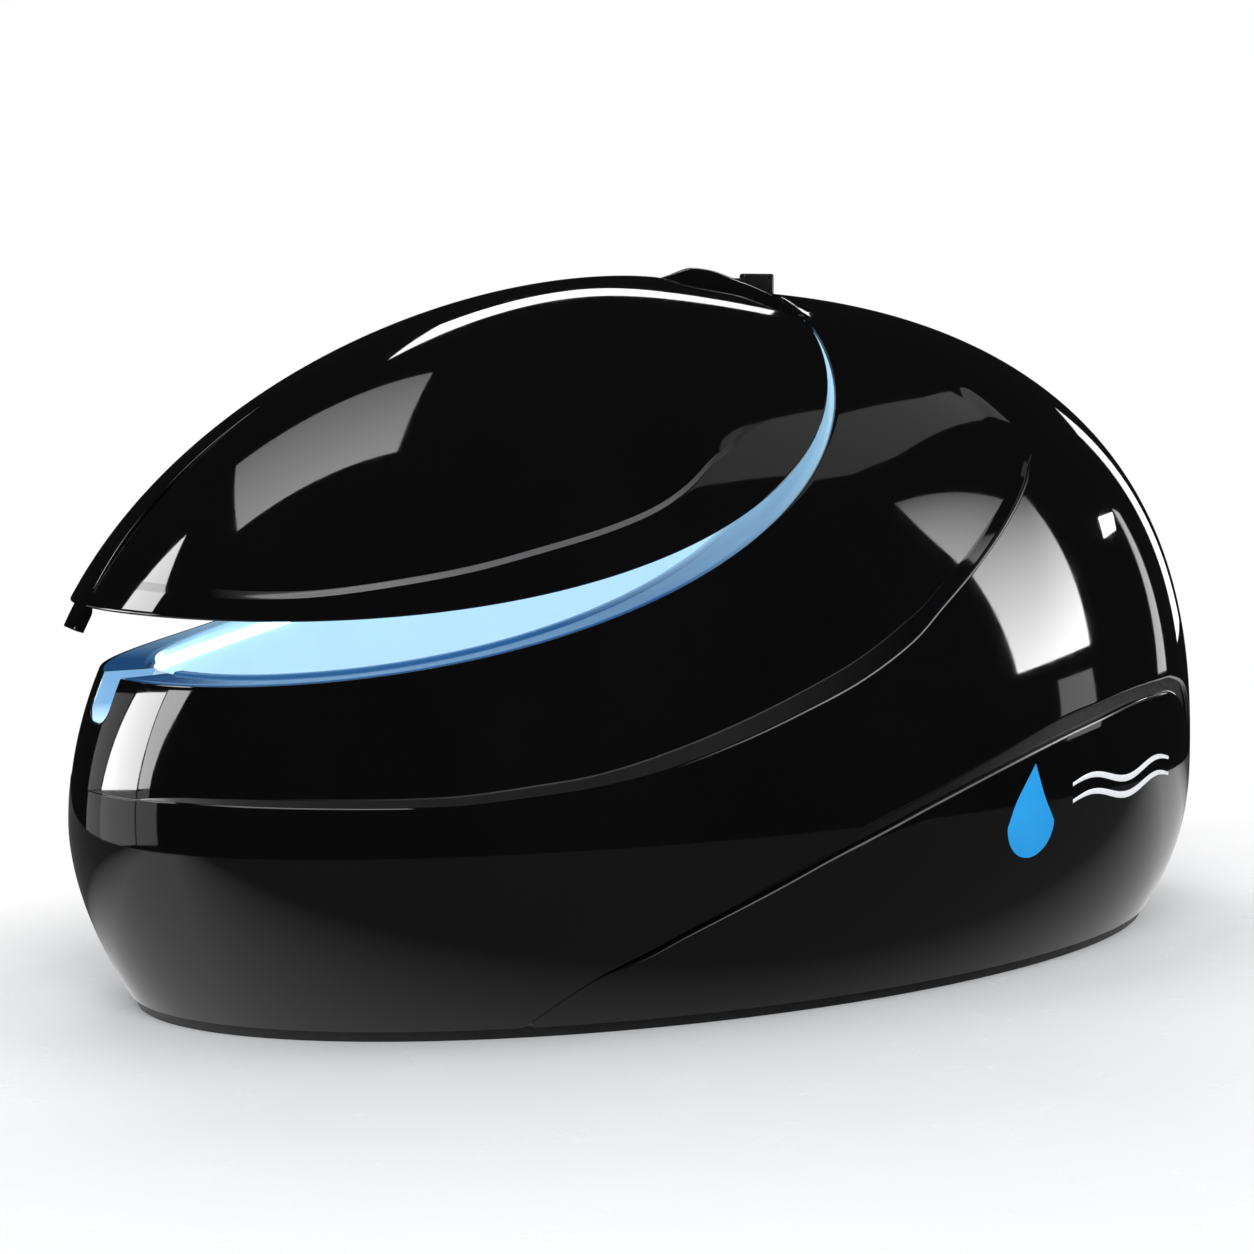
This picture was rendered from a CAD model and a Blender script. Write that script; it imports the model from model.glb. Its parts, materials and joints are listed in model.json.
import json
import math

import bpy
import numpy as np
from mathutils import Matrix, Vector


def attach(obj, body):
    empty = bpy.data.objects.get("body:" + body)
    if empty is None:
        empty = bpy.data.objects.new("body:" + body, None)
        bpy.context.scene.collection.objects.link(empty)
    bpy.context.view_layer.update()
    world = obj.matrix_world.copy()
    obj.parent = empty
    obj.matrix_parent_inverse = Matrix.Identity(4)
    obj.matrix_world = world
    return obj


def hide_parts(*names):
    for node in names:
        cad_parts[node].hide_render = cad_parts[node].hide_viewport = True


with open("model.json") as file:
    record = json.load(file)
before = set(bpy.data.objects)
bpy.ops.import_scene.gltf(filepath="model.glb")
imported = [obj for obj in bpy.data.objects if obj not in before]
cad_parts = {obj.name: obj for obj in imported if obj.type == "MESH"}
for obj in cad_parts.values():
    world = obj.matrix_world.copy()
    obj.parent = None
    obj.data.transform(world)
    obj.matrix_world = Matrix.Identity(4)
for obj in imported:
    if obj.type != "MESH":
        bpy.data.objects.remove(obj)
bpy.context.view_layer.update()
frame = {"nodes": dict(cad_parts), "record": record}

bpy.ops.object.select_all(action="DESELECT")

# ---- body shell --------------------------------------------------------------
# The egg-shaped outer shell, moulded in black gelcoat over glass fibre in two
# halves that meet in a ledge along each side. The lid's opening, the hand notch
# and the two side panel openings are left out of it, with rounded, turned-in edges.

crown_x, crown_top = -0.038, 1.422
widest_z = 0.363
body_foot, body_head, body_half = -1.325, 1.325, 0.749


def body_section(z, inset=0.0):
    """Foot end, head end and half width of the outer shape at heights z."""
    z = np.asarray(z, float)
    up = np.clip((z - widest_z) / (crown_top - inset - widest_z), 0, 1)
    down = np.clip((widest_z - z) / widest_z, 0, 1)
    foot = crown_x + (body_foot + inset - crown_x) * (1 - up**1.96) ** (1 / 1.73) + 0.127 * down**1.8
    head = crown_x + (body_head - inset - crown_x) * (1 - up**2.73) ** (1 / 2.42) - 0.104 * down**2.53
    half = (body_half - inset) * (1 - up**1.90) ** (1 / 1.49) - 0.126 * down**2
    return foot, head, half


def at_turn(section, turn, z):
    """Point of a shape at a turn about its upright axis, 0 at the foot end and
    half a turn at the head end, on the near side."""
    foot, head, half = section(z)
    middle, reach = (foot + head) / 2, (head - foot) / 2
    return np.stack([middle - reach * np.cos(turn), -half * np.sin(turn), z + 0 * turn], -1)


def fair(points, count=24):
    """A smooth line through points, as close points."""
    points = np.array(points, float)
    ends = np.vstack([2 * points[0] - points[1], points, 2 * points[-1] - points[-2]])
    line = []
    for p0, p1, p2, p3 in zip(ends, ends[1:], ends[2:], ends[3:]):
        for t in np.arange(count) / count:
            line.append(0.5 * (2 * p1 + (p2 - p0) * t + (2 * p0 - 5 * p1 + 4 * p2 - p3) * t * t
                               + (3 * p1 - p0 - 3 * p2 + p3) * t**3))
    return np.array(line + [points[-1]])


def climb(section, turns, low, top):
    """Columns of points up a shape: heights, points and the way along each column."""
    u = np.linspace(0, 1, 1600)
    if low < widest_z:
        z = np.concatenate([np.linspace(low, widest_z, 400, endpoint=False),
                            widest_z + (top - widest_z) * (1 - (1 - u) ** 2.6)])
    else:
        z = low + (top - low) * (1 - (1 - u) ** 2.6)
    points = at_turn(section, np.asarray(turns)[None, :], z[:, None])
    steps = np.linalg.norm(np.diff(points, axis=0), axis=2)
    way = np.vstack([np.zeros(len(turns)), np.cumsum(steps, axis=0)])
    return z, points, way


def entry(points, way, level):
    """The way up each column at which it enters a region, where level turns positive."""
    value = level(points[..., 0], points[..., 1], points[..., 2])
    ways = np.zeros(points.shape[1])
    for i in range(points.shape[1]):
        below = np.nonzero(value[:, i] < 0)[0]
        k = below[-1] if len(below) else 0
        if k + 1 >= len(value) or not len(below):
            ways[i] = way[k, i]
            continue
        share = -value[k, i] / (value[k + 1, i] - value[k, i])
        ways[i] = way[k, i] + share * (way[k + 1, i] - way[k, i])
    return ways


def spread(start, end, count):
    """Rows of ways between two, the end left out."""
    return [start + (end - start) * (i / count) for i in range(count)]


def at_ways(ways, way, values):
    """Values at a way along each column, from one list for all or a column for each."""
    if values.ndim == 1:
        values = values[:, None] + 0 * way
    return np.array([np.interp(ways[i], way[:, i], values[:, i]) for i in range(len(ways))])


def on_body(section, turns, column, ways, inset):
    """Points at ways along the columns, drawn in square to the surface by inset."""
    z, points, way = column
    heights = at_ways(ways, way, z)
    centre = at_turn(section, turns, heights)
    side = at_turn(section, turns + 1e-4, heights) - at_turn(section, turns - 1e-4, heights)
    above, below = at_ways(ways + 5e-4, way, z), at_ways(ways - 5e-4, way, z)
    rise = at_turn(section, turns, above) - at_turn(section, turns, below)
    normal = np.cross(side, rise)
    normal /= np.maximum(np.linalg.norm(normal, axis=1), 1e-12)[:, None]
    return centre - normal * np.asarray(inset)[..., None]


def skin(name, rows, flip=False, mirror=True, smooth=40.0, trims=()):
    """A grid primitive laid on rows of points, with the far side mirrored on to it.
    Each trim is a run of rows of faces that gets a finish of its own."""
    rows = np.array(rows, float)
    bpy.ops.mesh.primitive_grid_add(x_subdivisions=rows.shape[1] - 1, y_subdivisions=rows.shape[0] - 1,
                                    size=1)
    piece = bpy.context.object
    piece.name = piece.data.name = name
    piece.data.vertices.foreach_set("co", rows.reshape(-1))
    finish_of = np.zeros((rows.shape[0] - 1, rows.shape[1] - 1), int)
    for number, (first, last) in enumerate(trims, 1):
        finish_of[first:last] = number
    piece.data.polygons.foreach_set("material_index", finish_of.reshape(-1))
    piece.data.update()
    if mirror:
        other = piece.modifiers.new("far side", "MIRROR")
        other.use_axis = (False, True, False)
        other.merge_threshold = 0.00005
        bpy.ops.object.modifier_apply(modifier=other.name)
    bpy.ops.object.mode_set(mode="EDIT")
    bpy.ops.mesh.select_all(action="SELECT")
    bpy.ops.mesh.remove_doubles(threshold=0.00002)
    if flip:
        bpy.ops.mesh.flip_normals()
    bpy.ops.object.mode_set(mode="OBJECT")
    bpy.ops.object.shade_smooth_by_angle(angle=math.radians(smooth))
    return piece


def settle(piece, body, slot, material, *stands_for, trims=()):
    """Finish, body and the nodes a piece stands for."""
    for finish in (material, *trims):
        piece.data.materials.append(finish)
    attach(piece, body)
    if stands_for:
        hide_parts(*stands_for)
    bpy.ops.object.select_all(action="DESELECT")
    return piece


def seam_level(shift=0.0):
    """Positive inside the lid's outline seen from the side, moved towards the lid."""
    def level(x, y, z):
        across = np.clip((x - body_foot) / (1.57 - shift), 0, None)
        down = np.clip((crown_top - z) / (0.749 - shift), 0, None)
        return 1 - across**1.931 - down**1.967
    return level


notch_half, notch_bottom, notch_corner = 0.0515, 0.584, 0.038


def notch_level(x, y, z):
    """Positive inside the hand notch at the foot end."""
    flat_y = np.abs(y) - (notch_half - notch_corner)
    flat_z = (notch_bottom + notch_corner) - z
    outside = np.hypot(np.clip(flat_y, 0, None),
                       np.clip(flat_z, 0, None)) + np.minimum(np.maximum(flat_y, flat_z), 0)
    return np.where(x < -1.1, notch_corner - outside, -1.0)


def opening_level(x, y, z):
    return np.maximum(seam_level()(x, y, z), notch_level(x, y, z))


ledge_line = fair([(-1.6, .458), (-1.311, .459), (-1.242, .464), (-1.016, .465), (-.864, .466), (-.783, .469),
                   (-.663, .481), (-.559, .493), (-.427, .518), (-.27, .563), (-.134, .608), (.014, .661),
                   (.152, .726), (.247, .787), (.364, .859), (.492, .942), (.594, 1.016), (.64, 1.063),
                   (.86, 1.264), (1.1, 1.482)])
ledge_width = [(-1.27, .002), (-1.25, .008), (-1.22, .013), (-1.15, .017), (-1.05, .019), (-.9, .020),
               (-.78, .022),
               (-.556, .0265), (-.423, .035), (-.127, .0425), (.03, .047), (.14, .050), (.23, .042),
               (.458, .040),
               (.564, .034), (.631, .017), (.66, .003), (1.4, .003)]
ledge_share = 0.35


def ledge_level(x, y, z):
    return z - np.interp(x, ledge_line[:, 0], ledge_line[:, 1])


groove_upper = fair([(-.655, .010), (-.597, .070), (-.536, .122), (-.4827, .1525), (-.4375, .176),
                     (-.3655, .2149),
                     (-.2894, .2501), (-.212, .2884), (-.1285, .3241), (.003, .380), (.166, .433),
                     (.349, .489),
                     (.527, .537), (.662, .557), (.806, .573), (.96, .576), (1.015, .570), (1.091, .545),
                     (1.133, .499), (1.164, .415), (1.178, .26), (1.180, .0)])
groove_lower = fair([(-.654, .010), (-.5955, .070), (-.533, .1215), (-.480, .1462), (-.4339, .1673),
                     (-.374, .2005),
                     (-.3002, .2353), (-.2202, .2717), (-.1517, .3014), (-.0807, .3312), (.003, .362),
                     (.166, .416),
                     (.347, .467), (.524, .507), (.658, .530), (.802, .550), (.935, .554), (.994, .548),
                     (1.042, .528), (1.088, .487), (1.124, .420), (1.158, .26), (1.166, .0)])


def panel_level(line):
    """Positive above the outline of a side panel."""
    top = int(np.argmax(line[:, 1]))
    front, back = line[:top + 1], line[top:][::-1]

    def level(x, y, z):
        over_front = np.interp(z, front[:, 1], front[:, 0]) - x
        over_back = x - np.interp(z, back[:, 1], back[:, 0])
        over = np.maximum(over_front, over_back)
        return np.maximum(over, z - line[top, 1])
    return level


shell_low = 0.022
shell_turns = np.concatenate([
    [0.0, .02, .04, .055], np.arange(.064, .082, .001), [.09, .1], np.arange(.115, 2.50, .0165),
    np.arange(2.505, 2.81, .006), np.arange(2.82, math.pi - .01, .02), [math.pi]])


def fade(distance, reach):
    share = np.clip(distance / reach, 0, 1)
    return 1 - share * share * (3 - 2 * share)


column = climb(body_section, shell_turns, shell_low, crown_top)
z, points, way = column
panel_way = entry(points, way, panel_level(groove_upper))
ledge_way = entry(points, way, ledge_level)
opening_way = entry(points, way, opening_level)
ledge_x = at_ways(ledge_way, way, points[:, :, 0])
ledge_gap = np.interp(ledge_x, *np.array(ledge_width).T)
ledge_depth = np.clip(ledge_share * ledge_gap, .0012, .007) * fade(ledge_x - .60, .06)
ledge_size = np.clip(ledge_gap / .02, .05, 1)


def groove_round(points, way):
    """Radius of the edges beside the groove, which is a hairline at its foot end."""
    gap = entry(points, way, panel_level(groove_upper)) - entry(points, way, panel_level(groove_lower))
    return np.clip(.45 * gap, .0008, .008)


edge_arc = np.radians([0, 15, 30, 45, 60, 75, 90])
corner = groove_round(points, way)
rows = [(panel_way, .012)]
for angle in edge_arc:
    rows.append((panel_way + corner * (1 - math.cos(angle)), corner * (1 - math.sin(angle))))
for ways in spread(panel_way + corner + .002, ledge_way - .005 * ledge_size - .001, 44):
    rows.append((ways, 0.0))
for offset, depth in ((-.004, 0), (-.0015, 0), (0, .09), (.0012, .26), (.0025, .46), (.0035, .54)):
    rows.append((ledge_way + offset * ledge_size, depth * ledge_depth))
ledge_face = len(rows) - 1
for share in (.2, .4, .6, .8, 1):
    inner_line = .0035 * ledge_size + (ledge_gap - .0065 * ledge_size) * share
    rows.append((ledge_way + inner_line, (.54 + .46 * share) * ledge_depth))
ledge_brow = len(rows) - 1
rows.append((ledge_way + ledge_gap, ledge_depth))
ledge_end = len(rows) - 1
for ways in spread(ledge_way + ledge_gap + .004 * ledge_size, opening_way - .006, 44):
    rows.append((ways, ledge_depth * fade(ways - ledge_way - ledge_gap, .30)))
last = ledge_depth * fade(opening_way - ledge_way - ledge_gap, .30)
turned_edge = [(.004, 0), (.0022, .0002), (.0008, .0009), (0, .0025)]
for back, inset in turned_edge + [(0, .006), (0, .010)]:
    rows.append((opening_way - back, last + inset))
shell_rows = [on_body(body_section, shell_turns, column, ways, inset + 0 * ways) for ways, inset in rows]
body_shell = skin("body_shell", shell_rows, smooth=50,
                  trims=[(ledge_face, ledge_brow), (ledge_brow, ledge_end), (ledge_face - 4, ledge_face - 2)])


def finish_nodes(name):
    """A new node material, its nodes, its links and its shader."""
    material = bpy.data.materials.new(name)
    material.use_nodes = True
    nodes, links = material.node_tree.nodes, material.node_tree.links
    return material, nodes, links, nodes["Principled BSDF"]


def noise_on(nodes, links, scale, detail=3.0, stretch=(1, 1, 1)):
    """Noise in the piece's own metres."""
    place = nodes.new("ShaderNodeTexCoord")
    mapping = nodes.new("ShaderNodeMapping")
    mapping.inputs["Scale"].default_value = stretch
    noise = nodes.new("ShaderNodeTexNoise")
    noise.inputs["Scale"].default_value = scale
    noise.inputs["Detail"].default_value = detail
    links.new(place.outputs["Object"], mapping.inputs["Vector"])
    links.new(mapping.outputs["Vector"], noise.inputs["Vector"])
    return noise


def ranged(nodes, links, source, low, high, start=0.3, end=0.7):
    """A value taken from one range to another."""
    change = nodes.new("ShaderNodeMapRange")
    change.inputs["From Min"].default_value = start
    change.inputs["From Max"].default_value = end
    change.inputs["To Min"].default_value = low
    change.inputs["To Max"].default_value = high
    links.new(source, change.inputs["Value"])
    return change.outputs["Result"]


def tinted(nodes, links, factor, dark, light):
    """A colour between two, by a factor."""
    ramp = nodes.new("ShaderNodeValToRGB")
    ramp.color_ramp.elements[0].color = (*dark, 1)
    ramp.color_ramp.elements[1].color = (*light, 1)
    links.new(factor, ramp.inputs["Fac"])
    return ramp.outputs["Color"]


def worked(nodes, links, operation, *sources):
    """The result of a sum on values."""
    node = nodes.new("ShaderNodeMath")
    node.operation = operation
    for socket, source in zip(node.inputs, sources):
        links.new(source, socket)
    return node.outputs[0]


def own_axis(nodes, links, axis):
    """One axis of the piece's own metres."""
    split = nodes.new("ShaderNodeSeparateXYZ")
    links.new(nodes.new("ShaderNodeTexCoord").outputs["Object"], split.inputs["Vector"])
    return split.outputs[axis]


def bumped(nodes, links, shader, height, strength, distance):
    bump = nodes.new("ShaderNodeBump")
    bump.inputs["Strength"].default_value = strength
    bump.inputs["Distance"].default_value = distance
    links.new(height, bump.inputs["Height"])
    links.new(bump.outputs["Normal"], shader.inputs["Normal"])


def gelcoat(name):
    """Polished black gelcoat: deep black, faint orange peel, a little haze."""
    material, nodes, links, shader = finish_nodes(name)
    cloud = noise_on(nodes, links, 3.0, 4.0)
    peel = noise_on(nodes, links, 180.0, 2.0)
    haze = noise_on(nodes, links, 26.0, 6.0)
    links.new(tinted(nodes, links, cloud.outputs["Fac"], (.0020, .0020, .0023), (.0034, .0034, .0038)),
              shader.inputs["Base Color"])
    links.new(ranged(nodes, links, haze.outputs["Fac"], .028, .060), shader.inputs["Roughness"])
    shader.inputs["Specular IOR Level"].default_value = 0.5
    shader.inputs["Coat Weight"].default_value = 0.35
    shader.inputs["Coat Roughness"].default_value = 0.02
    bumped(nodes, links, shader, peel.outputs["Fac"], .02, .0004)
    return material


gloss_black = (.0028, .0028, .0032, 1)


def band_finish(name, dark, light, rough, ends):
    """Satin band in the gelcoat that fades into the gloss over runs of the length."""
    material, nodes, links, shader = finish_nodes(name)
    along = own_axis(nodes, links, "X")
    both = worked(nodes, links, "MULTIPLY", *[ranged(nodes, links, along, 0, 1, *run) for run in ends])
    satin = tinted(nodes, links, noise_on(nodes, links, 30.0).outputs["Fac"], dark, light)
    mix = nodes.new("ShaderNodeMix")
    mix.data_type = "RGBA"
    mix.inputs[6].default_value = gloss_black
    links.new(both, mix.inputs[0])
    links.new(satin, mix.inputs[7])
    links.new(mix.outputs[2], shader.inputs["Base Color"])
    links.new(ranged(nodes, links, both, .05, rough, 0, 1), shader.inputs["Roughness"])
    return material


black_gelcoat = gelcoat("black gelcoat")
ledge_satin = band_finish("ledge satin", (.010, .010, .0105), (.014, .014, .0145), .42,
                          [(-1.28, -1.20), (.15, -.30)])
brow_satin = band_finish("ledge brow", (.040, .040, .041), (.055, .055, .057), .30,
                         [(-1.10, -.70), (.30, -.20)])
edge_satin = band_finish("ledge edge", (.20, .20, .205), (.28, .28, .29), .22, [(-.40, -.05), (.62, .50)])
settle(body_shell, "tank", "gelcoat_black", black_gelcoat, "lower_shell", "upper_shell", "joint_flange",
       trims=[ledge_satin, brow_satin, edge_satin])

# ---- side panels and their channels ------------------------------------------
# A service panel low on each side, moulded like the shell and held from behind.
# Its edge stands a little inside the opening, and the tray behind it shows as a
# dark channel that is widest at the rear corner.

tray_inset, tray_lap = 0.0115, 0.012
tray_turns = shell_turns[(shell_turns > .8) & (shell_turns < 2.82)]
column = climb(body_section, tray_turns, shell_low, crown_top)
z, points, way = column
tray_top = entry(points, way, panel_level(groove_upper)) + tray_lap
tray_rows = [on_body(body_section, tray_turns, column, ways, tray_inset + 0 * ways)
             for ways in spread(0 * tray_top, tray_top, 24) + [tray_top]]


def varied(name, dark, light, scale, rough_scale, rough, detail=(3, 3), stretch=(1, 1, 1)):
    """A finish whose colour and gloss vary by noise, and what it's made of."""
    material, nodes, links, shader = finish_nodes(name)
    cloud = noise_on(nodes, links, scale, detail[0], stretch)
    haze = noise_on(nodes, links, rough_scale, detail[1], stretch)
    links.new(tinted(nodes, links, cloud.outputs["Fac"], dark, light), shader.inputs["Base Color"])
    links.new(ranged(nodes, links, haze.outputs["Fac"], *rough), shader.inputs["Roughness"])
    return material, nodes, links, shader, cloud


recess_black = varied("recess black", (.004, .004, .004), (.012, .012, .012), 40, 90, (.35, .55))[0]

panel_turns = shell_turns[(shell_turns > .95) & (shell_turns < 2.80)]
column = climb(body_section, panel_turns, shell_low, crown_top)
z, points, way = column
panel_top = np.minimum(entry(points, way, panel_level(groove_lower)),
                       entry(points, way, panel_level(groove_upper)) - .0006)
corner = groove_round(points, way)
rows = [(0 * panel_top, 0.0)]
rows += [(ways, 0.0)
         for ways in spread(.02 * panel_top, np.maximum(panel_top - corner - .002, .5 * panel_top), 26)]
panel_edge = len(rows)
for angle in edge_arc[::-1]:
    rows.append((np.maximum(panel_top - corner * (1 - math.cos(angle)), .5 * panel_top),
                 corner * (1 - math.sin(angle))))
rows.append((np.maximum(panel_top, .5 * panel_top), .0112))
panel_rows = [on_body(body_section, panel_turns, column, ways, inset + 0 * ways) for ways, inset in rows]
opened = panel_top > .004
panel_satin = band_finish("panel edge", (.10, .10, .105), (.15, .15, .155), .25, [(-.47, -.30), (1.0, .5)])

for side, word in ((1, "near"), (-1, "far")):
    tray = skin("panel_tray_" + word, np.array(tray_rows) * (1, side, 1), flip=side < 0, mirror=False)
    settle(tray, "tank", "recess_black", recess_black, "side_recess_" + word)
    panel = skin("access_panel_" + word, np.array(panel_rows)[:, opened] * (1, side, 1), flip=side < 0,
                 mirror=False, smooth=50, trims=[(panel_edge, panel_edge + 2)])
    settle(panel, "tank", "gelcoat_black", black_gelcoat, "side_panel_" + word, trims=[panel_satin])

# ---- lid skin ----------------------------------------------------------------
# The front-opening lid, moulded like the body. Its lower edge runs the length of
# the opening; above it a soft crease divides a flush flange from the dome.

hinge_x, hinge_z, lid_rest = 0.222, 1.386, math.radians(5.2)


def swung(points):
    """Points of the shut lid, turned about the hinge to where it rests."""
    points = np.array(points, float)
    x, z = points[..., 0] - hinge_x, points[..., 2] - hinge_z
    turned = points.copy()
    turned[..., 0] = hinge_x + x * math.cos(lid_rest) + z * math.sin(lid_rest)
    turned[..., 2] = hinge_z - x * math.sin(lid_rest) + z * math.cos(lid_rest)
    return turned


cutout = np.array([(-.040, .003), (-.031, .013), (-.010, .021), (.016, .029), (.039, .038), (.080, .061),
                   (.121, .090), (.142, .106), (.162, .124), (.183, .138), (.203, .153), (.238, .179),
                   (.300, .202)])


def cutout_level(x, y, z):
    """Positive inside the lid's cut-out for the cowl."""
    reach = np.interp(x, cutout[:, 0], cutout[:, 1], left=-1.0)
    return np.where(z > 1.3, reach - np.abs(y), -1.0)


crease_line = fair([(-1.5, .735), (-1.3, .722), (-1.141, .722), (-1.043, .727), (-.938, .743), (-.799, .776),
                    (-.682, .808),
                    (-.558, .849), (-.427, .894), (-.318, .940), (-.238, .988), (-.177, 1.036),
                    (-.122, 1.069),
                    (-.07, 1.110), (-.03, 1.15)])
crease_band = 0.020
crease_depth = 0.0075
lid_inset = 0.0055

lid_turns = np.concatenate([[0, .012, .024, .036, .05], np.arange(.064, 2.2, .0165),
                            np.arange(2.2, 3.1, .008)])
column = climb(body_section, lid_turns, .6, crown_top)
z, points, way = column
edge_way = entry(points, way, seam_level(.003))
cut_way = entry(points, way, cutout_level)
there = cut_way > edge_way + .006
lid_turns, edge_way, cut_way = lid_turns[there], edge_way[there], cut_way[there]
column = climb(body_section, lid_turns, .6, crown_top)
z, points, way = column


def crease_level(x, y, z):
    return z - np.interp(x, crease_line[:, 0], crease_line[:, 1])


crease_way = entry(points, way, crease_level)
crease_x = at_ways(crease_way, way, points[:, :, 0])
share = (crease_way - edge_way) / (cut_way - edge_way)
held = crease_x < -.06
share = np.where(held, share, share[held][-1])
crease_way = edge_way + share * (cut_way - edge_way)
band = np.where(held, crease_band, crease_band * (cut_way - edge_way) / (cut_way - edge_way)[held][-1])
depth = crease_depth * np.clip((crease_x + 1.19) / .22, 0, 1) ** 1.5 * fade(crease_x + .36, .24)

rows = []
for back, inset in [(0, lid_inset)] + turned_edge[::-1]:
    rows.append((edge_way + back, inset))
for ways in spread(edge_way + .008, crease_way - .006, 14):
    rows.append((ways, 0.0))
crease_first = len(rows)
for part, deep in ((-.25, 0), (-.08, .01), (.05, .06), (.18, .18), (.34, .38), (.5, .58), (.66, .76),
                   (.82, .90),
                   (.95, .97), (1.1, 1.0)):
    rows.append((crease_way + part * band, deep * depth))
for ways in spread(crease_way + 1.4 * band, cut_way - .006, 64):
    rows.append((ways, depth * fade(ways - crease_way - band, .34)))
for back, inset in turned_edge + [(0, lid_inset)]:
    rows.append((cut_way - back, inset))
lid_rows = swung([on_body(body_section, lid_turns, column, ways, inset + 0 * ways) for ways, inset in rows])
lid_skin = skin("lid_skin", lid_rows, smooth=50, trims=[(crease_first + 2, crease_first + 8)])
crease_satin = band_finish("crease satin", (.085, .085, .088), (.115, .115, .118), .30,
                           [(-1.16, -.90), (-.13, -.32)])
settle(lid_skin, "lid", "gelcoat_black", black_gelcoat, "lid_shell", trims=[crease_satin])

# ---- nose strip and tab ------------------------------------------------------
# A raised strip down the middle of the lid's nose. It ends in a tongue that drops
# into the hand notch, and fades into the dome higher up.

strip_half = 0.035
strip_rise = 0.006
tab_low, strip_high = 0.632, 1.20
across = np.array([-1, -1, -1, -.985, -.95, -.88, -.7, -.5, -.25, 0, .25, .5, .7, .88, .95, .985, 1, 1, 1])
edge_drop = np.array([.020, .010, .0035, .0018, .0006, .0001, 0, 0, 0, 0, 0, 0, 0, .0001, .0006, .0018, .0035,
                      .010,
                      .020])
heights = np.concatenate([[tab_low, tab_low, tab_low], tab_low + np.array([.0008, .002, .004]),
                          np.linspace(tab_low + .01, .72, 14), np.linspace(.73, strip_high, 44)])
end_drop = np.concatenate([[.020, .010, .0035], [.0018, .0007, .0002], np.zeros(58)])
rows = []
for height, drop in zip(heights, end_drop):
    foot, head, half = body_section(height)
    y = strip_half * across
    turn = np.arcsin(np.clip(y / half, -1, 1))
    centre = at_turn(body_section, -turn, np.full(len(y), height))
    side = at_turn(body_section, -turn + 1e-4, np.full(len(y), height)) - centre
    rise = at_turn(body_section, -turn, np.full(len(y), height + 1e-4)) - centre
    normal = np.cross(side, rise)
    normal /= np.linalg.norm(normal, axis=1)[:, None]
    proud = .35 + .65 * float(np.clip((height - .68) / .12, 0, 1))
    stand = strip_rise * proud * float(fade(height - .86, .30)) - .0006
    below = np.clip((.700 - height) / .03, 0, 1)
    deep = np.minimum(edge_drop, .004 + .016 * below)
    rows.append(centre + normal * (stand - np.maximum(deep, drop))[:, None])
nose_strip = skin("nose_strip", swung(rows), mirror=False, smooth=50)
settle(nose_strip, "lid", "gelcoat_black", black_gelcoat, "lid_tab")

# ---- cowl over the hinge -----------------------------------------------------
# A crescent moulding in the lid's cut-out that covers the hinge, with a small
# bolted block behind its ridge.

cowl_stations = fair([(-.027, .006, .002, .0015, .0015), (-.006, .014, .005, .0096, .010),
                      (.020, .022, .008, .021, .0215),
                      (.043, .031, .010, .0285, .029), (.084, .054, .020, .0295, .0285),
                      (.125, .083, .038, .022, .018),
                      (.146, .099, .056, .019, .009), (.166, .117, .084, .017, .003),
                      (.187, .131, .110, .0145, .0015),
                      (.207, .146, .134, .009, .0015), (.223, .158, .150, .0053, .0012)], 7)
cowl_slot, slot_start, cowl_back = .018, .124, .2155


def body_height(x, y):
    """Height of the body's outside over points of the plan."""
    low, high = np.full(np.shape(x), widest_z), np.full(np.shape(x), crown_top)
    for step in range(40):
        z = (low + high) / 2
        foot, head, half = body_section(z)
        inside = ((x - (foot + head) / 2) / ((head - foot) / 2)) ** 2 + (y / half) ** 2 < 1
        low, high = np.where(inside, z, low), np.where(inside, high, z)
    return low


def cowl_row(x, foot_y, ridge_y, rise, middle, stop=0.0, cap=2.0):
    """One line across half of the cowl, from its foot over the ridge to y = stop,
    nowhere higher than cap."""
    y = np.concatenate([foot_y * np.array([1, 1]), foot_y - (foot_y - ridge_y) * np.linspace(0, 1, 12),
                        stop + (ridge_y - stop) * (1 - np.linspace(.1, 1, 10)), [stop, stop]])
    shoulder = np.clip((foot_y - y) / max(foot_y - ridge_y, 1e-5), 0, 1)
    lift = np.where(y >= ridge_y, rise * np.sin(shoulder * math.pi / 2) ** .9,
                    middle + (rise - middle) * (y / max(ridge_y, 1e-5)) ** 2) - .0001
    lift[0], lift[1] = -.010, -.003
    if stop:
        lift[-2:] = (-.003, -.015)
    heights = np.minimum(body_height(np.full(len(y), x), y) + lift, cap)
    return np.stack([np.full(len(y), x), -y, heights], -1)


rows = []
for station in cowl_stations:
    if station[0] < slot_start:
        rows.append(cowl_row(*station))
at_slot = [np.interp(slot_start, cowl_stations[:, 0], cowl_stations[:, i]) for i in range(5)]
rows += [cowl_row(*at_slot), cowl_row(*at_slot, stop=cowl_slot)]
for station in cowl_stations:
    if slot_start + .001 < station[0] < cowl_back:
        rows.append(cowl_row(*station, stop=cowl_slot))
for x, cap in ((cowl_back, 2), (.2172, 1.4072), (.2190, 1.4058), (.223, 1.4058), (.229, 1.4045),
               (.2335, 1.4020),
               (.2360, 1.3985), (.2368, 1.3930), (.2370, 1.3860)):
    station = [np.interp(min(x, .223), cowl_stations[:, 0], cowl_stations[:, i]) for i in range(1, 5)]
    rows.append(cowl_row(x, *station, stop=cowl_slot, cap=cap))
cowl_skin = skin("cowl_skin", swung(rows), flip=False, smooth=60)
settle(cowl_skin, "lid", "gelcoat_black", black_gelcoat, "crown_cowl")


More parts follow.
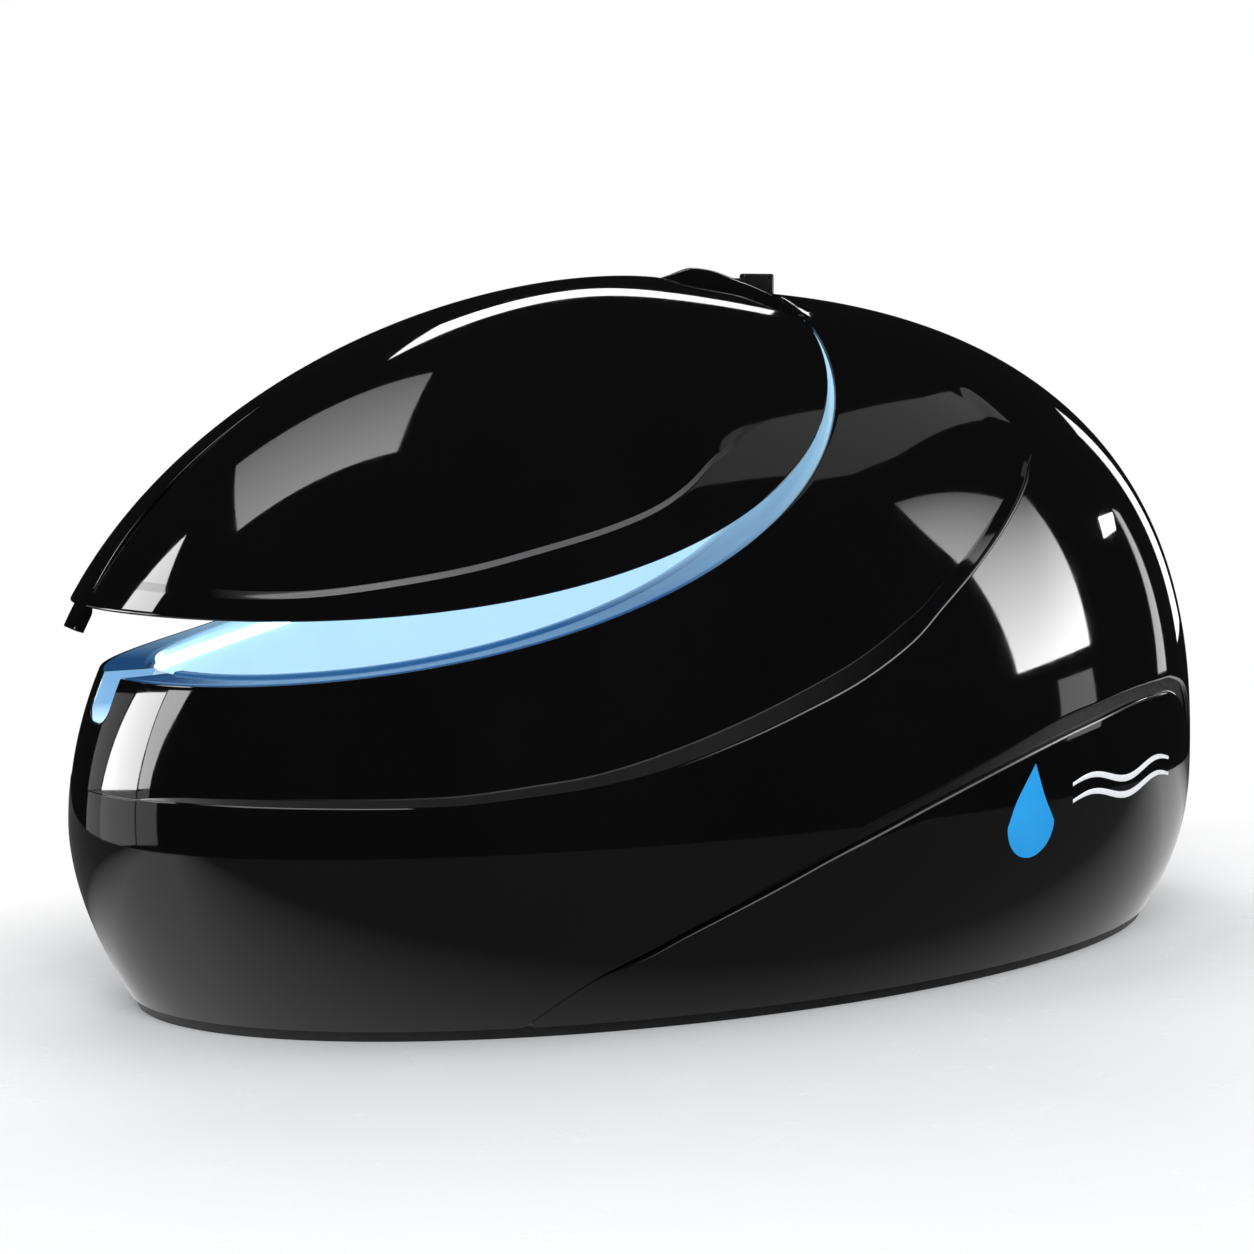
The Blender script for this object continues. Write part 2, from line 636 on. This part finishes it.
def cube_at(name, low, high):
    """A cube primitive between two corners."""
    bpy.ops.object.select_all(action="DESELECT")
    middle = [(a + b) / 2 for a, b in zip(low, high)]
    bpy.ops.mesh.primitive_cube_add(size=1, location=middle)
    piece = bpy.context.object
    piece.name = piece.data.name = name
    piece.scale = [b - a for a, b in zip(low, high)]
    bpy.ops.object.transform_apply(location=True, rotation=True, scale=True)
    return piece


def rounded(piece, width, segments):
    """Bevelled edges, applied."""
    bevel = piece.modifiers.new("rounded edges", "BEVEL")
    bevel.width = width
    bevel.segments = segments
    bevel.limit_method = "ANGLE"
    bevel.angle_limit = math.radians(30)
    bpy.ops.object.modifier_apply(modifier=bevel.name)
    bpy.ops.object.shade_smooth_by_angle(angle=math.radians(40))
    return piece


def joined(pieces):
    """Several pieces made one, on the first."""
    bpy.ops.object.select_all(action="DESELECT")
    for piece in pieces:
        piece.select_set(True)
    bpy.context.view_layer.objects.active = pieces[0]
    bpy.ops.object.join()
    return pieces[0]


hinge_block = cube_at("hinge_block", (.177, -.0135, 1.401), (.2535, .0135, 1.4555))
rounded(hinge_block, .006, 5)
hinge_foot = cube_at("hinge_foot", (.148, -.0085, 1.401), (.182, .0085, 1.4455))
rounded(hinge_foot, .006, 5)
joined([hinge_block, hinge_foot])
satin_black = varied("satin black", (.006, .006, .006), (.014, .014, .015), 60, 220, (.10, .18))[0]
settle(hinge_block, "tank", "recess_black", satin_black, "hinge_cap")

# ---- rim, lip and notch lining -----------------------------------------------
# Pale blue acrylic rim round the opening, with an upstand lip on its inner side
# that the lid closes over, and a lining in the hand notch. The light strip under
# it shines through.

tub_foot, tub_head, tub_half, tub_top, tub_floor = -1.25, 0.95, 0.674, 1.215, 0.165


def tub_section(z, grow=0.0):
    """The same for the bathing cavity, grown outwards."""
    z = np.asarray(z, float)
    up = np.clip((z - widest_z) / (tub_top + grow - widest_z), 0, 1)
    down = np.clip((widest_z - z) / (widest_z - tub_floor + grow), 0, 1)
    foot = crown_x + (tub_foot - grow - crown_x) * (1 - up**1.96) ** (1 / 1.73)
    head = crown_x + (tub_head + grow - crown_x) * (1 - up**2.73) ** (1 / 2.42)
    half = (tub_half + grow) * (1 - up**1.90) ** (1 / 1.49)
    left = .8 + .2 * np.sqrt(1 - down**2)
    middle, reach = (foot + head) / 2, (head - foot) / 2 * left
    return middle - reach, middle + reach, half * left


def seam_ring(section, top, shift, start_y, shares, end_y=0.0):
    """Points where a shape meets the seam moved by shift, from start_y at the foot
    round to end_y at the head."""
    start, end = 0.0, math.pi
    for step in range(3):
        column = climb(section, np.array([start, end]), .3, top)
        ways = entry(column[1], column[2], seam_level(shift))
        first, last = [float(section(np.interp(ways[i], column[2][:, i], column[0]))[2]) for i in (0, 1)]
        start = math.asin(min(start_y / first, 1.0))
        end = math.pi - math.asin(min(end_y / last, 1.0))
    turns = start + (end - start) * shares
    column = climb(section, turns, .3, top)
    ways = entry(column[1], column[2], seam_level(shift))
    return at_turn(section, turns, at_ways(ways, column[2], column[0]))


def body_ring(inset, shift, start_y, shares, end_y=0.0):
    return seam_ring(lambda z: body_section(z, inset), crown_top - inset, shift, start_y, shares, end_y)


def tub_ring(grow, shift, start_y, shares, end_y=0.0):
    return seam_ring(lambda z: tub_section(z, grow), tub_top + grow, shift, start_y, shares, end_y)


def to_seam(points, shift):
    """Points moved, as seen from the side, on to the seam moved by shift."""
    level, step = seam_level(shift), 1e-4
    points = np.array(points, float)
    for turn in range(4):
        x, y, z = points[..., 0], points[..., 1], points[..., 2]
        value = level(x, y, z)
        along_x = (level(x + step, y, z) - level(x - step, y, z)) / (2 * step)
        along_z = (level(x, y, z + step) - level(x, y, z - step)) / (2 * step)
        size = along_x**2 + along_z**2
        points[..., 0] -= value * along_x / size
        points[..., 2] -= value * along_z / size
    return points


ring_shares = np.concatenate([np.linspace(0, .1, 12, endpoint=False), np.linspace(.1, 1, 150)])
slot_half = 0.0430
rows = [body_ring(inset, shift, notch_half, ring_shares, slot_half) for inset, shift in
        ((.0085, -.014), (.0085, -.003), (.0095, -.0012), (.0115, -.0004))]
outer, inner = rows[-1], tub_ring(.017, -.0004, notch_half, ring_shares, slot_half)
rows += [to_seam(outer + (inner - outer) * share, -.0004) for share in (.12, .3, .5, .7, .88)]
rows += [inner, tub_ring(.0145, -.0002, notch_half, ring_shares, slot_half)]
rim_deck = skin("rim_ring", rows, flip=True)

rows = [tub_ring(grow, shift, .075, ring_shares) for grow, shift in
        ((.014, -.004), (.014, 0), (.014, .003), (.0135, .0041), (.012, .0048), (.0095, .005), (.0045, .005),
         (.002, .0048), (.0006, .0041), (.0002, .003), (.0002, 0), (.0002, -.020))]
rim_lip = skin("rim_upstand", rows, flip=True)


def acrylic(name, deep, pale, glow, strength, run=None, deep_glow=None):
    """Blue-lit acrylic: a pale skin that the light strip shows through. The colour
    runs from deep to pale by noise, or between two places along a direction."""
    material, nodes, links, shader = finish_nodes(name)
    share = noise_on(nodes, links, 5.0, 3.0).outputs["Fac"]
    if run:
        direction, start, end = run
        place = nodes.new("ShaderNodeTexCoord")
        along = nodes.new("ShaderNodeVectorMath")
        along.operation = "DOT_PRODUCT"
        along.inputs[1].default_value = direction
        links.new(place.outputs["Object"], along.inputs[0])
        share = ranged(nodes, links, along.outputs["Value"], 0, 1, start, end)
    links.new(tinted(nodes, links, share, deep, pale), shader.inputs["Base Color"])
    links.new(ranged(nodes, links, noise_on(nodes, links, 60.0).outputs["Fac"], .10, .18),
              shader.inputs["Roughness"])
    links.new(tinted(nodes, links, share, deep_glow or [.85 * c for c in glow], glow),
              shader.inputs["Emission Color"])
    shader.inputs["Emission Strength"].default_value = strength
    return material


rim_blue = acrylic("rim acrylic", (.010, .055, .17), (.40, .62, .76), (.34, .52, .62), .5,
                   ((1, 1, 0), -.95, -.10), (.015, .08, .20))
lip_blue = acrylic("lip acrylic", (.020, .085, .22), (.50, .68, .78), (.40, .56, .66), .5,
                   ((1, 1, 0), -1.05, -.35), (.03, .12, .27))
settle(rim_deck, "tank", "rim_blue", rim_blue, "rim_deck")
settle(rim_lip, "tank", "liner_white", lip_blue, "rim_lip")

lining_half, lining_bottom, lining_corner = 0.0475, 0.588, 0.034
arc = np.linspace(0, math.pi / 2, 10)
profile = [(lining_half, .6733), (lining_half, .66), (lining_half, .64)]
profile += [(lining_half - lining_corner + lining_corner * math.cos(a), lining_bottom + lining_corner
             - lining_corner * math.sin(a)) for a in arc]
profile += [(.009, lining_bottom), (.004, lining_bottom), (0, lining_bottom)]
profile = [(lining_half + .006, .6745), (lining_half + .002, .6745)] + profile
rows = []
for y, height in profile:
    foot, head, half = body_section(height, .003)
    out_x = (foot + head) / 2 - (head - foot) / 2 * math.sqrt(1 - (y / half) ** 2)
    foot, head, half = tub_section(height)
    in_x = (foot + head) / 2 - (head - foot) / 2 * math.sqrt(1 - (y / half) ** 2)
    xs = out_x + (in_x - out_x) * np.concatenate([[0, .01, .04], np.linspace(.1, .96, 9), [.99, 1]])
    edge = np.concatenate([[.003, .0008, 0], np.zeros(9), [.001, .003]])
    beside, below = (edge, 0 * edge) if y > .04 else (0 * edge, edge)
    rows.append(np.stack([xs, -y - beside, height - below], -1))
notch_lining = skin("notch_lining", rows, flip=False)
notch_blue = acrylic("notch acrylic", (.48, .66, .76), (.20, .36, .52), (.16, .32, .52), .6,
                     ((0, 0, 1), .590, .615),
                     (.42, .62, .72))
settle(notch_lining, "tank", "liner_white", notch_blue, "notch_liner")

# ---- tub and canopy liner ----------------------------------------------------
# One smooth white acrylic skin: the tub below and the canopy over the head end,
# lit blue by the light strip under the rim.

tub_turns = np.concatenate([[0, .02, .04], np.arange(.06, math.pi - .01, .02), [math.pi]])
column = climb(tub_section, tub_turns, tub_floor + .0002, tub_top)
z, points, way = column
liner_top = entry(points, way, seam_level(-.004))
liner_rows = []
edge_row = on_body(tub_section, tub_turns, column, 0 * liner_top, 0 * liner_top)
for share in (.02, .25, .5, .75, .92):
    floor_row = edge_row * (share, share, 1) + np.array([(1 - share) * (-.15), 0, 0])
    floor_row[:, 2] = tub_floor
    liner_rows.append(floor_row)
for ways in spread(0 * liner_top, liner_top, 70) + [liner_top]:
    liner_rows.append(on_body(tub_section, tub_turns, column, ways, 0 * ways))
tub_skin = skin("tub_skin", liner_rows, flip=True)
lit_liner = acrylic("lit liner", (.52, .62, .68), (.58, .68, .74), (.44, .58, .66), .5)
settle(tub_skin, "tank", "liner_white", lit_liner, "tub_liner", "upper_liner")

# ---- lid lining --------------------------------------------------------------
# The lid's inner skin, the flat rim that joins it to the outside, and the soft
# seal under that rim.

lid_top_shape = .017
lid_shift = 0.0032


def lid_section(z):
    return tub_section(z, lid_top_shape)


column = climb(lid_section, tub_turns, .5, tub_top + lid_top_shape)
z, points, way = column
inner_edge = entry(points, way, seam_level(.0035))
inner_pole = way[-1]
rows = [on_body(lid_section, tub_turns, column, ways, 0 * ways)
        for ways in spread(inner_edge, inner_pole, 60)]
rows.append(np.tile(np.array([crown_x, 0, tub_top + lid_top_shape]), (len(tub_turns), 1)))
lid_inner = skin("lid_inner_skin", swung(rows), flip=True)
settle(lid_inner, "lid", "liner_white", lit_liner, "lid_liner")



def lid_edges(shares):
    """The lid's outer and inner lower edge."""
    return body_ring(lid_inset, lid_shift, .001, shares), tub_ring(.018, lid_shift, .001, shares)


close_shares = np.linspace(0, 1, 800)
outer, inner = lid_edges(close_shares)
in_cutout = np.maximum(*[cutout_level(ring[:, 0] - .004, ring[:, 1], ring[:, 2])
                         for ring in (outer, inner)]) > -.006
lid_end = close_shares[np.argmax(in_cutout)]
outer, inner = lid_edges(ring_shares * lid_end)
rows = [to_seam(outer + (inner - outer) * share, lid_shift) for share in (0, .2, .4, .6, .8, 1)]
lid_edge = skin("lid_edge_ring", swung(rows), flip=False)
settle(lid_edge, "lid", "rim_blue", lip_blue, "lid_rim")

# ---- emblem ------------------------------------------------------------------
# A plain water drop and two wave lines, inlaid on each side panel.

emblem_stand = 0.0009


def on_side(x, height, stand):
    """Point of the near side at x and a height, standing proud."""
    foot, head, half = body_section(height)
    middle, reach = (foot + head) / 2, (head - foot) / 2
    return [x, -half * math.sqrt(1 - ((x - middle) / reach) ** 2) - stand, height]


drop_x, drop_z, drop_r, drop_tip = 0.430, 0.340, 0.070, 0.122
bowl = [(drop_x + drop_r * math.cos(a), drop_z - drop_r * math.sin(a))
        for a in np.linspace(math.pi / 2, 0, 14)]
right = fair([(drop_x + drop_r, drop_z), (drop_x + .80 * .72 * drop_r, drop_z + .43 * drop_tip),
              (drop_x + .014, drop_z + drop_tip)], 12)
left = fair([(drop_x - drop_r, drop_z), (drop_x - .86 * .72 * drop_r, drop_z + .43 * drop_tip),
             (drop_x + .014, drop_z + drop_tip)], 12)
right = np.vstack([bowl[:-1], right])
left = np.vstack([[(2 * drop_x - x, height) for x, height in bowl[:-1]], left])
rows = []
for (left_x, left_h), (right_x, right_h) in zip(left, right):
    line = []
    for share, sink in zip(np.concatenate([[0, 0, .02], np.linspace(.06, .94, 14), [.98, 1, 1]]),
                           [.002, .0006, 0] + [0] * 14 + [0, .0006, .002]):
        line.append(on_side(left_x + (right_x - left_x) * share, left_h + (right_h - left_h) * share,
                            emblem_stand - sink))
    rows.append(line)
drop_rows = np.array(rows)

wave_rows = []
for wave_z in (.405, .370):
    line = []
    for share in np.linspace(0, 1, 60):
        x = .560 + .400 * share
        height = wave_z + .012 * math.sin(3 * math.pi * share)
        thick = .014 * (.35 + .65 * math.sin(math.pi * min(max(share, .04), .96)) ** .6)
        line.append([on_side(x, height + thick * (part - .5), emblem_stand - sink) for part, sink in
                     ((0, .002), (0, .0006), (.1, 0), (.5, 0), (.9, 0), (1, .0006), (1, .002))])
    wave_rows.append(np.swapaxes(np.array(line), 0, 1))

emblem_blue, nodes, links, shader, cloud = varied("emblem blue", (.010, .26, .66), (.022, .36, .80), 9, 120,
                                                  (.16, .26))
shader.inputs["Emission Color"].default_value = (.01, .25, .65, 1)
shader.inputs["Emission Strength"].default_value = .15
emblem_pale = varied("emblem white", (.80, .82, .85), (.92, .93, .95), 9, 120, (.20, .30))[0]

drops, waves = [], []
for side, word in ((1, "near"), (-1, "far")):
    drops.append(skin("drop_" + word, drop_rows * (1, side, 1), flip=side < 0, mirror=False))
    for count, line in enumerate(wave_rows):
        waves.append(skin(f"wave_{word}_{count}", line * (1, side, 1), flip=side < 0, mirror=False))
for group, material, slot, node in ((drops, emblem_blue, "emblem_blue", "emblem_drops"),
                                    (waves, emblem_pale, "emblem_pale", "emblem_waves")):
    inlay = joined(group)
    inlay.name = inlay.data.name = "inlaid_" + node
    settle(inlay, "tank", slot, material, node)

# ---- finishes of the carried-over parts --------------------------------------
# Frame, fittings, pump, filter, heater, pipes, hinge and lift keep their shape and
# get the finish of the real parts.


def plain_finish(name, dark, light, rough, metal=0.0, scale=40.0, stretch=(1, 1, 1), bump=0.0):
    """A finish for a whole slot, metal or not, with or without a bumpy skin."""
    material, nodes, links, shader, cloud = varied(
        name, dark, light, scale, 4 * scale, (rough - .06, rough + .06), (4, 3), stretch)
    shader.inputs["Metallic"].default_value = metal
    if bump:
        bumped(nodes, links, shader, cloud.outputs["Fac"], bump, .0005)
    return material


carried = {
    "gelcoat_black": black_gelcoat,
    "recess_black": recess_black,
    "liner_white": lit_liner,
    "rim_blue": rim_blue,
    "seal_rubber": plain_finish("seal rubber", (.010, .010, .010), (.022, .022, .022), .75, bump=.2),
    "light_strip": acrylic("light strip", (.7, .9, 1), (.8, .95, 1), (.45, .80, 1.0), 6.0),
    "lamp_glass": acrylic("lamp glass", (.6, .85, 1), (.7, .92, 1), (.40, .78, 1.0), 3.0),
    "frame_steel": plain_finish("powder-coated steel", (.19, .21, .23), (.25, .27, .29), .46, bump=.1),
    "stainless": plain_finish("brushed stainless", (.50, .50, .51), (.66, .66, .66), .28, 1.0, 30.0,
                              (1, 1, 12)),
    "bright_chrome": plain_finish("bright chrome", (.74, .74, .75), (.84, .84, .85), .10, 1.0),
    "cylinder_black": plain_finish("cylinder lacquer", (.010, .010, .011), (.020, .020, .021), .26),
    "pipe_grey": plain_finish("grey pipe", (.30, .31, .32), (.38, .39, .40), .42, bump=.1),
    "cap_dark": plain_finish("dark cap", (.035, .037, .040), (.060, .062, .066), .48, bump=.2),
    "cover_grey": plain_finish("grey housing", (.36, .37, .37), (.46, .47, .47), .50, bump=.2),
    "lever_red": plain_finish("red lever", (.50, .02, .015), (.62, .035, .025), .36),
    "rotor_metal": plain_finish("cast rotor", (.54, .55, .56), (.68, .69, .70), .34, 1.0),
    "board_ply": plain_finish("birch board", (.42, .28, .15), (.60, .43, .26), .62, 0.0, 8.0, (1, 14, 14),
                              .3),
    "button_blue": plain_finish("button blue", (.03, .18, .52), (.05, .25, .62), .28),
    "emblem_blue": emblem_blue,
    "emblem_pale": emblem_pale,
}
slot_of = {part["node"]: part["material_slot"] for part in frame["record"]["subparts"]}
for node, piece in frame["nodes"].items():
    slots = piece.data.materials
    finish = carried[slot_of[node]]
    if len(slots) == 0:
        slots.append(finish)
    for i in range(len(slots)):
        slots[i] = finish

# ---- floor and light ---------------------------------------------------------
# A pale floor, soft lamps, softboxes that only gloss shows, and black flags
# behind them, so that the black shell reflects a dark room.

floor_size, flag_radius, pool_radius = 60, 9, 3.2
bpy.ops.mesh.primitive_plane_add(size=floor_size)
floor = bpy.context.object
floor.name = "floor"
floor_finish, nodes, links, shader, cloud = varied("pale floor", (.88, .89, .91), (.93, .935, .945), 1.2, 6,
                                                   (.16, .30), (5, 5))
shader.inputs["Specular IOR Level"].default_value = 0.05
place = nodes.new("ShaderNodeTexCoord")


def background_rays(nodes, links):
    """1 for the camera's rays and for those that gloss and glass send on."""
    path = nodes.new("ShaderNodeLightPath")
    seen = worked(nodes, links, "MAXIMUM", path.outputs["Is Camera Ray"], path.outputs["Is Glossy Ray"])
    return worked(nodes, links, "MAXIMUM", seen, path.outputs["Is Transmission Ray"])


seen = background_rays(nodes, links)
for centre, size, start, end in (((-.75, -1.30, 0), (1, 1, 1), .85, 1.9),
                                 ((0, 0, 0), (.75, 1.33, 1), 1.1, 1.7)):
    mapping = nodes.new("ShaderNodeMapping")
    mapping.inputs["Location"].default_value = [-c * k for c, k in zip(centre, size)]
    mapping.inputs["Scale"].default_value = size
    far_off = nodes.new("ShaderNodeVectorMath")
    far_off.operation = "LENGTH"
    links.new(place.outputs["Object"], mapping.inputs["Vector"])
    links.new(mapping.outputs["Vector"], far_off.inputs[0])
    seen = worked(nodes, links, "MULTIPLY", ranged(nodes, links, far_off.outputs["Value"], 0, 1, start, end),
                  seen)
backdrop = nodes.new("ShaderNodeEmission")
backdrop.inputs["Color"].default_value = (1, 1, 1, 1)
mix = nodes.new("ShaderNodeMixShader")
links.new(seen, mix.inputs["Fac"])
links.new(shader.outputs[0], mix.inputs[1])
links.new(backdrop.outputs[0], mix.inputs[2])
links.new(mix.outputs[0], nodes["Material Output"].inputs["Surface"])
floor.data.materials.append(floor_finish)
floor.visible_glossy = False

world = bpy.data.worlds.new("studio")
bpy.context.scene.world = world
world.use_nodes = True
nodes, links = world.node_tree.nodes, world.node_tree.links
nodes.clear()
mix = nodes.new("ShaderNodeMixShader")
out = nodes.new("ShaderNodeOutputWorld")
links.new(background_rays(nodes, links), mix.inputs["Fac"])
for number, strength in ((1, .75), (2, 1.0)):
    even = nodes.new("ShaderNodeBackground")
    even.inputs["Color"].default_value = (1, 1, 1, 1)
    even.inputs["Strength"].default_value = strength
    links.new(even.outputs[0], mix.inputs[number])
links.new(mix.outputs[0], out.inputs["Surface"])


def only_in_gloss(piece):
    piece.visible_camera = False
    piece.visible_diffuse = False
    piece.visible_transmission = False
    piece.visible_shadow = False
    bpy.ops.object.select_all(action="DESELECT")
    return piece


def glow_nodes(name):
    """A new material that only glows, its nodes, its links and its strength."""
    material, nodes, links, shader = finish_nodes(name)
    nodes.remove(shader)
    glow = nodes.new("ShaderNodeEmission")
    glow.inputs["Color"].default_value = (1, 1, 1, 1)
    links.new(glow.outputs[0], nodes["Material Output"].inputs["Surface"])
    return material, nodes, links, glow.inputs["Strength"]


def softbox(name, corners, near, far=None):
    """A lit panel between four corners; near to far runs along its first side."""
    bpy.ops.mesh.primitive_plane_add(size=1)
    piece = bpy.context.object
    piece.name = name
    order = (0, 1, 3, 2)
    for vertex, k in zip(piece.data.vertices, order):
        vertex.co = corners[k]
    material, nodes, links, strength = glow_nodes(name)
    split = nodes.new("ShaderNodeSeparateXYZ")
    links.new(nodes.new("ShaderNodeUVMap").outputs["UV"], split.inputs["Vector"])
    links.new(ranged(nodes, links, split.outputs["X"], near, near if far is None else far, 0, 1), strength)
    piece.data.materials.append(material)
    return only_in_gloss(piece)


bpy.ops.mesh.primitive_uv_sphere_add(segments=32, ring_count=16, radius=flag_radius)
flags = bpy.context.object
flags.name = "flags"
flag_black, nodes, links, strength = glow_nodes("flag black")
strength.default_value = .008
flags.data.materials.append(flag_black)
only_in_gloss(flags)

softbox("box over the lid",
        [(-2.85, -.12, 3.65), (-2.13, 1.45, 3.63), (-.46, .51, 4.36), (-1.19, -.75, 4.25)], 4.2, 1.5)
softbox("strip behind the lid",
        [(-.60, 1.46, 4.05), (2.10, 1.40, 3.36), (2.10, 1.55, 3.20), (.0, 1.90, 3.75)], 10, 5)
softbox("box at the rear",
        [(3.11, -2.28, 1.29), (2.35, -1.70, 3.07), (3.28, -.90, 2.63), (3.71, -1.42, 1.22)], 12.5, 1)
softbox("foot of the rear box",
        [(3.44, -1.93, 1.06), (3.71, -1.48, 1.01), (3.74, -1.50, .57), (3.45, -1.98, .62)], 1.2)
softbox("small window", [(3.82, -.24, 1.99), (3.89, .14, 1.84), (3.92, -.04, 1.76), (3.85, -.40, 1.85)], 14)
softbox("first strip at the back",
        [(3.50, 1.40, 2.15), (3.66, 1.08, 2.10), (3.96, .95, .5), (3.74, 1.45, .5)], 3)
softbox("second strip at the back",
        [(3.89, .20, 1.85), (3.93, .32, 1.75), (4.09, .20, .5), (4.10, -.12, .55)], 2)
softbox("first ceiling panel",
        [(.78, -1.93, 3.68), (1.31, -1.20, 3.88), (1.93, -.72, 3.77), (1.98, -1.44, 3.47)], .4)
softbox("second ceiling panel",
        [(1.98, -1.44, 3.47), (1.93, -.72, 3.77), (2.93, .20, 3.23), (3.23, .05, 2.94)], .4)
softbox("box left of the nose",
        [(-3.54, 1.5, 2.38), (-2.97, 1.03, 3.30), (-3.54, .51, 2.93), (-3.76, .55, 2.64)], 10)
softbox("white strip at the foot",
        [(-3.62, 1.78, 1.63), (-3.98, .75, 1.94), (-4.26, .95, .64), (-3.51, 2.24, .40)], 11)
softbox("grey strip at the foot",
        [(-4.03, .72, 2.00), (-4.03, .03, 2.09), (-4.40, .26, .74), (-4.28, .90, .66)], 6.5)
softbox("dim strip at the foot",
        [(-2.89, 2.64, 1.25), (-3.58, 1.84, 1.60), (-3.47, 2.27, .40), (-2.82, 2.79, .25)], .55)
softbox("low dim strip", [(-2.9, 2.75, .25), (-3.54, 2.2, .41), (-3.5, 2.15, -.25), (-2.8, 2.71, -.33)], .55)
softbox("low white strip", [(-3.54, 2.2, .41), (-4.26, .95, .64), (-4.25, .86, -.14), (-3.5, 2.15, -.25)], .9)
softbox("low grey strip", [(-4.27, .9, .63), (-4.40, .26, .74), (-4.39, .18, -.09), (-4.25, .82, -.14)], .8)

bpy.ops.mesh.primitive_circle_add(vertices=64, radius=pool_radius, fill_type="NGON", location=(0, 0, .0015))
pool = bpy.context.object
pool.name = "floor seen in the gloss"
pool_glow, nodes, links, strength = glow_nodes("floor glow")
off_middle = worked(nodes, links, "ABSOLUTE", own_axis(nodes, links, "Y"))
links.new(ranged(nodes, links, off_middle, .75, .09, .25, .75), strength)
pool.data.materials.append(pool_glow)
only_in_gloss(pool)

lamp_aim = Vector((0, 0, .6))


def lamp(name, place, size, power):
    """A soft area lamp that gloss doesn't show."""
    bpy.ops.object.light_add(type="AREA", location=place)
    light = bpy.context.object
    light.name = name
    light.data.size = size
    light.data.energy = power
    light.rotation_euler = (lamp_aim - Vector(place)).to_track_quat("-Z", "Y").to_euler()
    light.visible_glossy = False
    light.visible_camera = False
    return light


lamp("key lamp", (-2.5, -3.5, 4.0), 2.5, 90)
lamp("fill lamp", (3.5, -2.5, 3.5), 2.5, 60)
lamp("rear lamp", (0, 4, 4.5), 3.0, 70)

# ---- camera ------------------------------------------------------------------
# A long lens at the height of the canopy, off the near side of the foot end. The
# sizes of both models are written down before the end.

bpy.ops.object.camera_add(location=(-2.855, -4.805, 1.340))
camera = bpy.context.object
camera.rotation_euler = (Vector((-.109, 0, .702)) - camera.location).to_track_quat("-Z", "Y").to_euler()
camera.data.lens = 74.65
camera.data.sensor_width = 36
bpy.context.scene.camera = camera
bpy.context.scene.view_settings.view_transform = "Standard"
